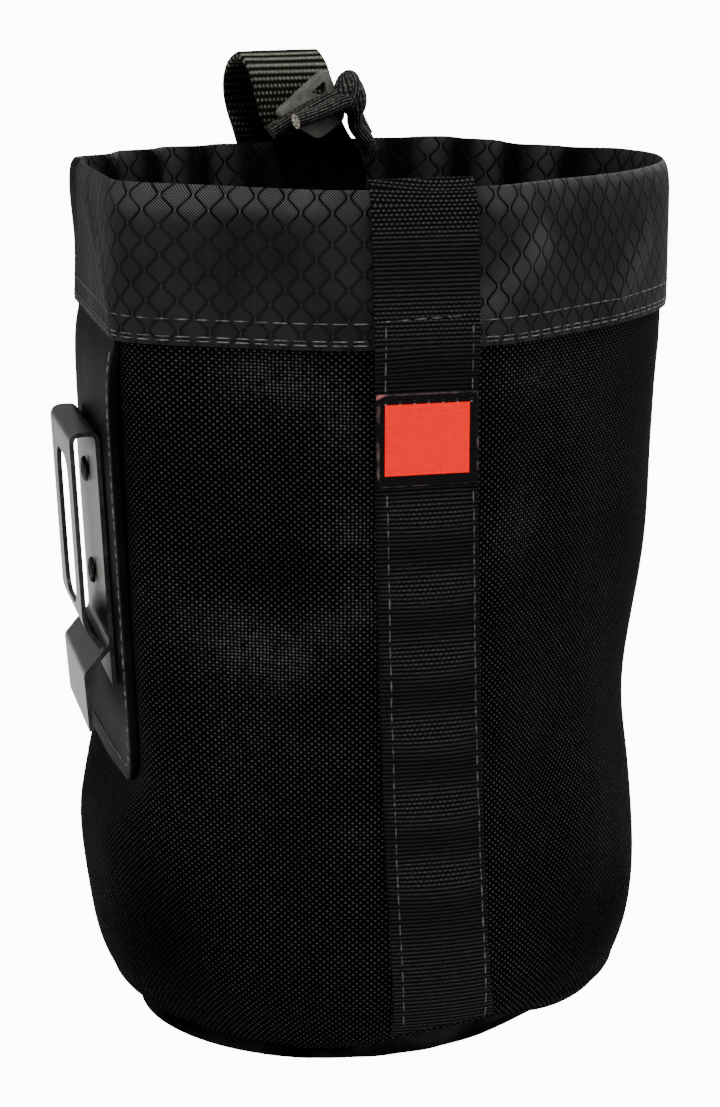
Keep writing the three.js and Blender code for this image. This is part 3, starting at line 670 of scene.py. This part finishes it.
def ripstop(name):
    """Smooth cloth with a net of curved lines that meet in pairs, over a fine slanting weave."""
    finish = Finish(name)
    across, up = finish.cloth_place()
    across = across - RIPSTOP_START["aside"]
    up = up - RIPSTOP_START["height"]
    half = RIPSTOP["across"] / 2
    swing = (up * (2 * math.pi / RIPSTOP["up"])).maths("COSINE")
    swing = (swing * 0.6 + swing.maths("ARCSINE") * 0.255) * RIPSTOP["swing"]
    lines = []
    for sign, shift in ((1, 0), (-1, half)):
        nearest = ((across - swing * sign + shift) / (2 * half) + 0.5).maths("FRACT") - 0.5
        lines.append(nearest.maths("ABSOLUTE") * (2 * half))
    nearest = lines[0].maths("MINIMUM", lines[1])
    line = 1 - nearest.between(RIPSTOP["line"], RIPSTOP["line"] * 2.6)
    # Painted shade beside the lines, where the cloth sinks between its puffed cells; the same share also
    # raises the cells in the bump.
    pillow_and_shade = nearest.between(0, 0.0013)
    # Painted highlights at the necks, where two lines come closest; they are stronger where the painted sheen
    # is high.
    apart = (lines[0] - lines[1]).maths("ABSOLUTE")
    meeting = 1 - (lines[0] + lines[1]).between(half * 0.26, half * 0.34)
    neck = (1 - apart.between(0.0001, 0.00022)) * meeting
    thread = ((across + up) / RIPSTOP["thread"]).wave(1)
    other = ((across - up) / RIPSTOP["thread"]).wave(1)
    fine = thread * 0.65 + other * 0.35
    cloud = finish.speckle(55, 3).between(0.3, 0.7) * 0.5 + 0.5
    # The painted light and shade of the sheen sets how bright the cloth is and how clear its weave; the lines
    # are painted paler where it is low.
    lit = finish.sheen()
    clear = lit.between(0.6, 1.4)
    woven = (fine.between(0.1, 0.9) - 0.5) * (clear * 0.8 + 0.2) + 0.5
    shine = cloud * woven * lit * (pillow_and_shade * 0.35 + 0.65) * 0.55
    cloth = finish.mix(shine, tone(13, 13, 13), tone(68, 68, 68))
    groove = finish.mix(clear, tone(32, 32, 32), tone(1, 1, 1))
    netted = finish.mix(line * (clear * 0.5 + 0.35), cloth, groove)
    return finish.shade({
        "Base Color": finish.mix(neck * lit * 0.5, netted, tone(84, 84, 84)),
        "Roughness": 0.5,
        "Specular IOR Level": 0.012,
        "Normal": finish.relief(fine * 0.3 - line + pillow_and_shade * 0.6, 0.00035),
    })


cuff_mesh = cloth_copy("cuff", 2)
lay_round(cuff_mesh, CUFF_RADIUS)
paint_sheen(cuff_mesh, cuff_sheen)
swell(cuff_mesh, cuff_rise)
cuff_cloth = ripstop("ripstop")
cuff_piece = place(cuff_mesh, "cuff_cloth", cuff_cloth, ["cuff"], "ripstop")

# Front strap: one inch black webbing sewn from the base up the wall, over the rim and down inside.
# It stands off the wall in small puckers between its tacks, and its cross ribs catch the light.
STRAP_RIB = 0.00105
STRAP_HALF = 0.0127
# Heights of the painted highlights on the upper slopes of the strap's puckers.
STRAP_HIGHLIGHTS = (0.146, 0.1275, 0.11, 0.0912, 0.0722, 0.054)


def webbing(name, rib, dot, dotted, dark, light):
    """Ribbed webbing: cross ribs that break up into staggered dots where they catch the light."""
    finish = Finish(name)
    across, along = finish.cloth_place()
    stagger = (across * (2 * math.pi / dot)).maths("COSINE") * (along * (math.pi / rib)).maths("COSINE")
    lit = finish.sheen()
    dots = lit.between(*dotted) * 0.7
    height = (along / rib).wave(1) * (stagger.between(0, 0.9) * dots + (1 - dots))
    # Painted shade: the ground goes to black where the painted sheen is low, as on the hang loop's foot
    # inside the bag.
    ground = finish.mix(lit.between(0.05, 0.8), tone(1, 1, 1), dark)
    patchy = finish.speckle(900, 3).between(0.2, 0.8) * 0.5 + 0.5
    shine = height.between(0.1, 0.95) * patchy * lit * (dots * 1.1 + 0.4)
    return finish.shade({
        "Base Color": finish.mix(shine, ground, light),
        "Roughness": 0.72,
        "Specular IOR Level": 0.03,
        "Normal": finish.relief(height, 0.0004),
    })


def lay_band(mesh, line, middles, skew=0):
    """Cloth map of a band: across from its middle, and along its line of distances out and heights."""
    layer = mesh.loops.layers.uv.new("cloth")
    spot = {}
    for corner in mesh.verts:
        here = Vector((math.hypot(corner.co.x, corner.co.y) - skew * corner.co.x, corner.co.z))
        nearest = []
        gone = 0
        for start, stop, first, second in zip(line, line[1:], middles, middles[1:]):
            way = Vector(stop) - Vector(start)
            share = min(1, max(0, (here - Vector(start)).dot(way) / way.length_squared))
            off = (here - Vector(start) - way * share).length
            nearest.append((off, corner.co.x - first - share * (second - first), gone + share * way.length))
            gone += way.length
        spot[corner] = min(nearest)[1:]
    for face in mesh.faces:
        for loop in face.loops:
            loop[layer].uv = spot[loop.vert]


STRAP_ROUTE = [
    (0.0722, 0.0085),
    (0.0735, 0.011),
    (0.0765, 0.02),
    (0.0785, 0.035),
    (0.0775, 0.06),
    (0.0765, 0.09),
    (0.0775, 0.13),
    (0.0785, 0.18),
    (0.0805, 0.187),
    (0.0803, 0.2205),
    (0.0793, 0.2238),
    (0.0775, 0.2254),
    (0.0755, 0.2254),
    (0.0737, 0.2238),
    (0.0727, 0.2205),
    (0.0722, 0.191),
]
STRAP_LINE = [(13, 5.6), (48, 3.4), (100, 1.6), (150, 0.1), (187, -0.4), (224, -1.3)]
STRAP_TACK = 0.0188


def strap_middle(z):
    """Sideways place of the strap's middle line at a height."""
    return along_table(STRAP_LINE, z * 1000) / 1000


def strap_rise(angle, point):
    """The webbing stands off the wall a little between its tacks."""
    middle = 1 - min(1, abs(point.x - strap_middle(point.z)) / STRAP_HALF) ** 2
    share = ramp(point.z, 0.034, 0.044) * (1 - ramp(point.z, 0.145, 0.151))
    if point.y > -0.06:
        share = 0
    lift = 0.0009 * share * middle * (1 + math.cos(2 * math.pi * (point.z - 0.105) / STRAP_TACK))
    return lift - 0.0003 * (1 - ramp(point.z, 0.205, 0.216))


def strap_sheen(angle, point):
    """The slopes above the tacks, the part over the cuff's hem and the rim catch more light."""
    across = (point.x - strap_middle(point.z)) / STRAP_HALF
    light = 0.54 + 0.15 * ramp(point.z, 0.183, 0.19) + 1.1 * ramp(point.z, 0.209, 0.222)
    light += 0.4 * bell(point.z - 0.1935, 0.006) + 0.3 * (1 - ramp(point.z, 0.03, 0.048))
    for height in STRAP_HIGHLIGHTS:
        light += 0.64 * bell(point.z - height, 0.0048) * (1 - min(1, abs(across)) ** 4)
    return light


strap_mesh = cloth_copy("front_strap", 3)
lay_band(strap_mesh, STRAP_ROUTE, [strap_middle(height) for distance, height in STRAP_ROUTE])
paint_sheen(strap_mesh, strap_sheen)
swell(strap_mesh, strap_rise)
strap_webbing = webbing("strap_webbing", STRAP_RIB, 0.0013, (0.3, 1.5), tone(8, 8, 8), tone(59, 59, 59))
strap_piece = place(strap_mesh, "strap_webbing", strap_webbing, ["front_strap"], "webbing")

# Label: a small woven patch sewn to the strap, a plain red field in a black border.
# The border's upper edge is worn pale and one corner of it is turned over.
LABEL = {"bottom": 0.1529, "top": 0.1755, "left": -0.0125, "right": 0.0125}
LABEL_BORDER = {"bottom": 0.0027, "top": 0.0024, "left": 0.0014, "right": 0.002}
LABEL_SUNK = 0.0008

label_mesh = cloth_copy("label", 3)
label_map = label_mesh.loops.layers.uv.new("cloth")
for face in label_mesh.faces:
    for loop in face.loops:
        loop[label_map].uv = (loop.vert.co.x, loop.vert.co.z)
swell(label_mesh, lambda angle, point: -LABEL_SUNK)
label_cloth = Finish("label_cloth")
label_across, label_up = label_cloth.cloth_place()
label_inward = {
    "left": label_across - LABEL["left"],
    "right": LABEL["right"] - label_across,
    "bottom": label_up - LABEL["bottom"],
    "top": LABEL["top"] - label_up,
}
label_edge = label_inward["left"]
label_field = label_inward["left"] - LABEL_BORDER["left"]
for side in ("right", "bottom", "top"):
    label_edge = label_edge.maths("MINIMUM", label_inward[side])
    label_field = label_field.maths("MINIMUM", label_inward[side] - LABEL_BORDER[side])
label_weave = (label_across / 0.00035).wave(1) * (label_up / 0.0005).wave(1)
label_red = label_cloth.mix(label_weave, tone(248, 5, 2), tone(255, 9, 4))
label_black = label_cloth.mix(label_weave * label_cloth.speckle(800), tone(8, 7, 7), tone(44, 41, 42))
label_rub = (1 - label_edge.between(0.0001, 0.0004)) * label_cloth.speckle(350, 3).between(0.42, 0.66)
label_black = label_cloth.mix(label_rub * 0.4, label_black, tone(126, 100, 100))
label_turned = 1 - (label_inward["left"] + label_inward["top"] * 2).between(0.0014, 0.0024)
label_black = label_cloth.mix(label_turned * 0.8, label_black, tone(150, 92, 90))
label_columns = (label_across / 0.0036).wave(1).between(0.93, 0.97)
label_rows = (label_inward["top"] / 0.0008).wave(1).between(0.6, 0.9)
label_upper = 1 - label_inward["top"].between(0.0027, 0.0029)
label_dots = label_columns * label_rows * label_field.between(-0.0008, -0.0006) * label_upper
label_black = label_cloth.mix(label_dots * 0.7, label_black, tone(140, 120, 118))
label_cloth.shade({
    "Base Color": label_cloth.mix(label_field.between(0, 0.0002), label_black, label_red),
    "Roughness": 0.7,
    "Specular IOR Level": 0.05,
    "Normal": label_cloth.relief(label_weave, 0.0002),
})
place(label_mesh, "label_patch", label_cloth, ["label"], "label_cloth")

# Hang loop: a second length of the same webbing, sewn outside and inside the cuff at the back.
# It stands up in an open arch over the rim.
LOOP_ROUTE = [
    (0.081, 0.189),
    (0.0811, 0.196),
    (0.0808, 0.206),
    (0.0807, 0.2178),
    (0.0844, 0.2265),
    (0.0883, 0.2337),
    (0.0888, 0.2408),
    (0.0861, 0.2466),
    (0.0814, 0.2488),
    (0.078, 0.246),
    (0.0768, 0.2398),
    (0.076, 0.2322),
    (0.0752, 0.2262),
    (0.0741, 0.2181),
    (0.0741, 0.2061),
    (0.0734, 0.193),
]
LOOP_RIB = 0.00195
LOOP_SKEW = 0.243
LOOP_MIDDLES = [-6.2, -6.2, -6.2, -6.2, -6.4, -7, -7.6, -7.6, -7.4, -6, -4.6, -3.4, -1, 5, 5, 5]


def loop_sheen(angle, point):
    """Painted light on the loop: a painted highlight on the top of the arch, painted shade on its back leg
    and on its foot inside the bag.
    """
    back = ramp(point.y, 0.0785, 0.081) * (1 - ramp(point.z, 0.2455, 0.2475))
    arch = 0.03 + 0.73 * ramp(point.z, 0.224, 0.234) + 0.9 * ramp(point.z, 0.236, 0.2465)
    return arch * (1 - 0.75 * back)


loop_mesh = cloth_copy("hang_loop", 3)
lay_band(loop_mesh, LOOP_ROUTE, [middle / 1000 for middle in LOOP_MIDDLES], LOOP_SKEW)
paint_sheen(loop_mesh, loop_sheen)
loop_webbing = webbing("loop_webbing", LOOP_RIB, 0.00125, (2.2, 0.8), tone(19, 19, 17), tone(108, 110, 99))
place(loop_mesh, "loop_webbing", loop_webbing, ["hang_loop"], "webbing")

# Stitching: grey thread in running stitches along the cuff's hem, the strap's edges and the panel's edge.
# Each stitch is a short rounded dash pulled slightly into the cloth.
CUFF_SEAM = {"heights": (0.1925, 0.1883, 0.1873), "stitches": 106}
STRAP_SEAM = {"sides": (-0.0102, 0.0115), "from": 15, "to": 153}
PANEL_SEAM = {"top": 0.181, "turn": 0.08, "round": 0.007, "inset": 0.0042, "near": -0.0302, "far": 0.037}

cuff_tree = BVHTree.FromObject(cuff_piece, bpy.context.evaluated_depsgraph_get())


def sew(mesh, tree, spots, length, thick):
    """Adds one stitch at each spot, which is a start outside the cloth, a way in and a way along."""
    for start, inward, along in spots:
        point, normal = tree.ray_cast(start, inward, 0.06)[:2]
        if point is None:
            continue
        along = (along - normal * along.dot(normal)).normalized()
        turn = Matrix((along, normal.cross(along), normal)).transposed().to_4x4()
        turn.translation = point + normal * thick * 0.12
        size = Matrix.Diagonal((length / 2, thick / 2, thick / 2, 1))
        bmesh.ops.create_uvsphere(mesh, u_segments=8, v_segments=5, radius=1, matrix=turn @ size)


def seam(points, pitch):
    """Even steps along a line of points."""
    steps = []
    gone = 0
    for start, stop in zip(points, points[1:]):
        span = (stop - start).length
        while gone <= span:
            steps.append((start.lerp(stop, gone / span), (stop - start).normalized()))
            gone += pitch
        gone -= span
    return steps


def thread(name, dark, light):
    finish = Finish(name)
    finish.shade({
        "Base Color": finish.mix(finish.speckle(900).between(0.3, 0.7), dark, light),
        "Roughness": 0.6,
        "Specular IOR Level": 0.1,
    })
    return finish


pale_thread = thread("pale_thread", tone(46, 46, 45), tone(104, 104, 100))
cuff_thread = bmesh.new()
for height in CUFF_SEAM["heights"]:
    spots = []
    for step in range(CUFF_SEAM["stitches"]):
        turn = math.radians((step + height * 5000) * 360 / CUFF_SEAM["stitches"])
        out = Vector((math.sin(turn), -math.cos(turn), 0))
        spots.append((out * 0.12 + Vector((0, 0, height)), -out, Vector((math.cos(turn), math.sin(turn), 0))))
    sew(cuff_thread, cuff_tree, spots, 0.004, 0.00032)
place(cuff_thread, "cuff_stitches", pale_thread, [], "ripstop")

strap_tree = BVHTree.FromObject(strap_piece, bpy.context.evaluated_depsgraph_get())
into_front = Vector((0, 1, 0))
strap_rows = []
for side in STRAP_SEAM["sides"]:
    heights = [step / 1000 for step in range(STRAP_SEAM["from"], STRAP_SEAM["to"], 3)]
    strap_rows.append([(strap_middle(height) + side, height) for height in heights])
    strap_rows.append([(side - 0.0005, 0.1775), (side - 0.0008, 0.1938)])
strap_rows.append([(-0.0108, 0.1932), (0.0096, 0.194)])
strap_thread = bmesh.new()
for row in strap_rows:
    steps = seam([Vector((x, -0.12, z)) for x, z in row], 0.0042)
    sew(strap_thread, strap_tree, [(start, into_front, along) for start, along in steps], 0.0036, 0.0004)
dull_thread = thread("dull_thread", tone(28, 28, 28), tone(84, 84, 83))
place(strap_thread, "strap_stitches", dull_thread, [], "webbing")

panel_tree = BVHTree.FromObject(panel_piece, bpy.context.evaluated_depsgraph_get())
panel_row = []
for step in range(41):
    z = PANEL_SEAM["top"] - step * (PANEL_SEAM["top"] - PANEL_SEAM["turn"]) / 40
    panel_row.append((panel_near(z) + PANEL_SEAM["inset"], z))
for middle, way, steps in ((PANEL_SEAM["near"], -1, range(1, 10)), (PANEL_SEAM["far"], 1, range(8, -1, -1))):
    for step in steps:
        turn = math.radians(step * 10)
        y = middle + way * PANEL_SEAM["round"] * math.cos(turn)
        panel_row.append((y, PANEL_SEAM["turn"] - PANEL_SEAM["round"] * math.sin(turn)))
panel_row.append((PANEL_SEAM["far"] + PANEL_SEAM["round"], PANEL_SEAM["top"]))
into_side = Vector((1, 0, 0))
panel_thread = bmesh.new()
panel_steps = seam([Vector((-0.12, y, z)) for y, z in panel_row], 0.0036)
sew(panel_thread, panel_tree, [(start, into_side, along) for start, along in panel_steps], 0.003, 0.0006)
place(panel_thread, "panel_stitches", pale_thread, [], "panel_leather")

# Floor and light: a plain pale floor and large soft lamps on both sides and above.
# One more lamp behind the bag lifts its back and its right side.
floor_mesh = bmesh.new()
bmesh.ops.create_grid(floor_mesh, x_segments=1, y_segments=1, size=20)
floor_data = bpy.data.meshes.new("floor")
floor_mesh.to_mesh(floor_data)
floor_mesh.free()
floor_paint = Finish("floor")
floor_paint.shade({"Base Color": tone(250, 250, 250), "Roughness": 0.9, "Specular IOR Level": 0.1})
floor_white = floor_paint.node("Emission", {}, {"Color": (1, 1, 1, 1), "Strength": 15.0})
floor_seen = floor_paint.node("LightPath", {}, {}, "Is Camera Ray") * 0.8
floor_plain = Value(floor_paint, floor_paint.shader.outputs[0])
floor_mixed = floor_paint.node("MixShader", {}, {0: floor_seen, 1: floor_plain, 2: floor_white})
floor_paint.feed(floor_paint.tree.nodes["Material Output"].inputs["Surface"], floor_mixed)
floor_data.materials.append(floor_paint.material)
floor = bpy.data.objects.new("floor", floor_data)
bpy.context.scene.collection.objects.link(floor)

sky = bpy.data.worlds.new("studio")
sky.use_nodes = True
sky.node_tree.nodes["Background"].inputs["Color"].default_value = (1, 1, 1, 1)
sky.node_tree.nodes["Background"].inputs["Strength"].default_value = 0.3
bpy.context.scene.world = sky

LAMPS = [
    ("lamp_left", (-1.1, -0.7, 0.9), 0.8, 9),
    ("lamp_right", (1.0, -0.9, 0.9), 0.8, 10),
    ("lamp_top", (-0.1, -0.6, 1.5), 0.9, 26),
    ("lamp_back", (0.9, 1.2, 0.9), 1.0, 26),
]
for name, spot, size, power in LAMPS:
    lamp = bpy.data.lights.new(name, "AREA")
    lamp.size = size
    lamp.energy = power
    stand = bpy.data.objects.new(name, lamp)
    stand.location = spot
    stand.rotation_euler = (Vector((0, 0, 0.12)) - Vector(spot)).to_track_quat("-Z", "Y").to_euler()
    bpy.context.scene.collection.objects.link(stand)
